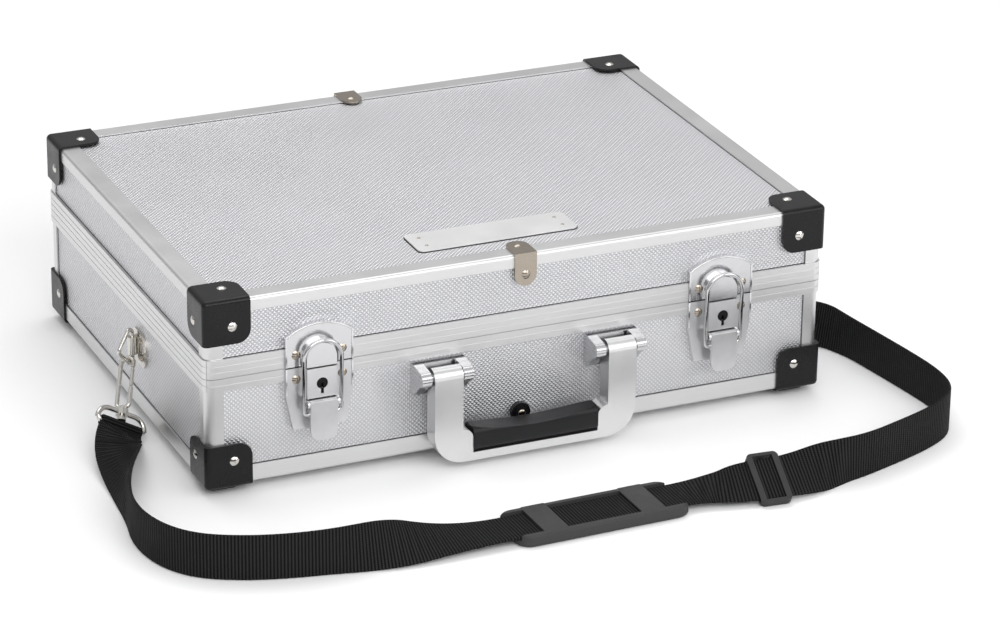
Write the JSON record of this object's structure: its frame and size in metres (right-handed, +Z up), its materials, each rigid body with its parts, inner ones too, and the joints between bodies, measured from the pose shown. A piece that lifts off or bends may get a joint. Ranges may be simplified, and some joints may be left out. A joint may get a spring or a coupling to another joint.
{
  "type": "aluminium case",
  "caption": "Shallow aluminium carrying case with a hinged lid, draw latches with locks, a drop handle, black corner caps and a padded shoulder strap on snap hooks.",
  "frame": {"origin": "on the floor, under the middle of the case with its handle and hinges", "axes": "+X along the front to the right, +Y to the rear where the hinges are, +Z up"},
  "size_m": [0.5456, 0.4595, 0.1346],
  "materials": {
    "panel_aluminium": "embossed with a fine diamond grain",
    "profile_aluminium": "satin anodised",
    "handle_aluminium": "satin anodised",
    "plate_aluminium": "bright satin, blank",
    "cap_plastic": "moulded, slightly shiny",
    "foot_rubber": "matt",
    "grip_rubber": "smooth, half matt",
    "foam": "open foam with a short pile",
    "latch_chrome": "polished",
    "lock_steel": "dark, brushed",
    "nickel": "bright nickel",
    "webbing": "woven with fine ribs",
    "pad_rubber": "matt",
    "slider_plastic": "moulded"
  },
  "bodies": {
    "base": {"base_bottom_panel": "panel_aluminium", "base_wall_panels": "panel_aluminium", "base_bottom_profiles": "profile_aluminium", "base_rim_profiles": "profile_aluminium", "base_corner_posts": "profile_aluminium", "base_corner_caps": "cap_plastic", "base_cap_rivets": "nickel", "base_fitting_rivets": "nickel", "rubber_feet": "foot_rubber", "base_foam_tray": "foam", "base_hinge_leaves": "nickel", "hinge_pins": "nickel", "left_latch_plate": "latch_chrome", "right_latch_plate": "latch_chrome", "left_lock_housing": "latch_chrome", "right_lock_housing": "latch_chrome", "latch_lever_pins": "latch_chrome", "left_handle_bracket": "latch_chrome", "right_handle_bracket": "latch_chrome", "handle_pins": "latch_chrome", "handle_bumper": "cap_plastic", "left_ring_plate": "nickel", "right_ring_plate": "nickel", "left_strap_loop": "nickel", "right_strap_loop": "nickel", "strap_webbing": "webbing", "strap_pad": "pad_rubber", "strap_slider": "slider_plastic"},
    "lid": {"lid_top_panel": "panel_aluminium", "lid_wall_panels": "panel_aluminium", "lid_top_profiles": "profile_aluminium", "lid_rim_profiles": "profile_aluminium", "lid_corner_posts": "profile_aluminium", "lid_corner_caps": "cap_plastic", "lid_cap_rivets": "nickel", "lid_fitting_rivets": "nickel", "lid_hinge_leaves": "nickel", "lid_foam_slab": "foam", "name_plate": "plate_aluminium", "name_plate_pins": "nickel", "front_edge_clip": "nickel", "rear_edge_clip": "nickel", "left_latch_keeper": "latch_chrome", "right_latch_keeper": "latch_chrome"},
    "handle": {"handle_frame": "handle_aluminium", "handle_grip": "grip_rubber"},
    "left_lever": {"left_latch_lever": "latch_chrome"},
    "left_bail": {"left_latch_bail": "latch_chrome"},
    "left_plug": {"left_lock_plug": "lock_steel"},
    "left_ring": {"left_strap_ring": "nickel"},
    "left_hook": {"left_snap_hook": "nickel"},
    "left_gate": {"left_hook_gate": "nickel"},
    "right_lever": {"right_latch_lever": "latch_chrome"},
    "right_bail": {"right_latch_bail": "latch_chrome"},
    "right_plug": {"right_lock_plug": "lock_steel"},
    "right_ring": {"right_strap_ring": "nickel"},
    "right_hook": {"right_snap_hook": "nickel"},
    "right_gate": {"right_hook_gate": "nickel"}
  },
  "joints": [
    {"name": "lid_hinge", "type": "hinge", "parent": "base", "child": "lid", "pos_m": [0, 0.16583, 0.08115], "axis": [-1, 0, 0], "range_deg": [0, 100]},
    {"name": "handle_hinge", "type": "hinge", "parent": "base", "child": "handle", "pos_m": [0.001, -0.16107, 0.0645], "axis": [-1, 0, 0], "range_deg": [0, 100]},
    {"name": "left_lever_hinge", "type": "hinge", "parent": "base", "child": "left_lever", "pos_m": [-0.1385, -0.15427, 0.0573], "axis": [-1, 0, 0], "range_deg": [0, 130]},
    {"name": "left_bail_hinge", "type": "hinge", "parent": "left_lever", "child": "left_bail", "pos_m": [-0.1385, -0.15348, 0.0503], "axis": [-1, 0, 0], "range_deg": [-152, 0]},
    {"name": "left_plug_turn", "type": "hinge", "parent": "base", "child": "left_plug", "pos_m": [-0.1385, -0.15077, 0.0702], "axis": [0, -1, 0], "range_deg": [0, 90]},
    {"name": "left_ring_swing", "type": "hinge", "parent": "base", "child": "left_ring", "pos_m": [-0.21506, -0.01307, 0.051], "axis": [0, 0, 1], "range_deg": [0, 8]},
    {"name": "left_hook_swivel", "type": "hinge", "parent": "base", "child": "left_hook", "pos_m": [-0.22006, -0.01704, 0.04002], "axis": [-0.3528, -0.6924, -0.6293], "range_deg": [-12, 12]},
    {"name": "left_gate_hinge", "type": "hinge", "parent": "left_hook", "child": "left_gate", "pos_m": [-0.22259, -0.03116, 0.03077], "axis": [-0.565, -0.3785, 0.7332], "range_deg": [0, 20], "stiffness_Nm_per_rad": 0.005},
    {"name": "right_lever_hinge", "type": "hinge", "parent": "base", "child": "right_lever", "pos_m": [0.1385, -0.15427, 0.0573], "axis": [-1, 0, 0], "range_deg": [0, 130]},
    {"name": "right_bail_hinge", "type": "hinge", "parent": "right_lever", "child": "right_bail", "pos_m": [0.1385, -0.15348, 0.0503], "axis": [-1, 0, 0], "range_deg": [-152, 0]},
    {"name": "right_plug_turn", "type": "hinge", "parent": "base", "child": "right_plug", "pos_m": [0.1385, -0.15077, 0.0702], "axis": [0, 1, 0], "range_deg": [0, 90]},
    {"name": "right_ring_swing", "type": "hinge", "parent": "base", "child": "right_ring", "pos_m": [0.21506, -0.01307, 0.051], "axis": [0, 0, -1], "range_deg": [0, 8]},
    {"name": "right_hook_swivel", "type": "hinge", "parent": "base", "child": "right_hook", "pos_m": [0.22006, -0.01704, 0.04002], "axis": [0.3528, -0.6924, -0.6293], "range_deg": [-12, 12]},
    {"name": "right_gate_hinge", "type": "hinge", "parent": "right_hook", "child": "right_gate", "pos_m": [0.22259, -0.03116, 0.03077], "axis": [-0.565, 0.3785, -0.7332], "range_deg": [0, 20], "stiffness_Nm_per_rad": 0.005}
  ],
  "couplings": [
    {"joint": "left_bail_hinge", "follows": "left_lever_hinge", "ratio": -1.1667},
    {"joint": "right_bail_hinge", "follows": "right_lever_hinge", "ratio": -1.1667}
  ]
}
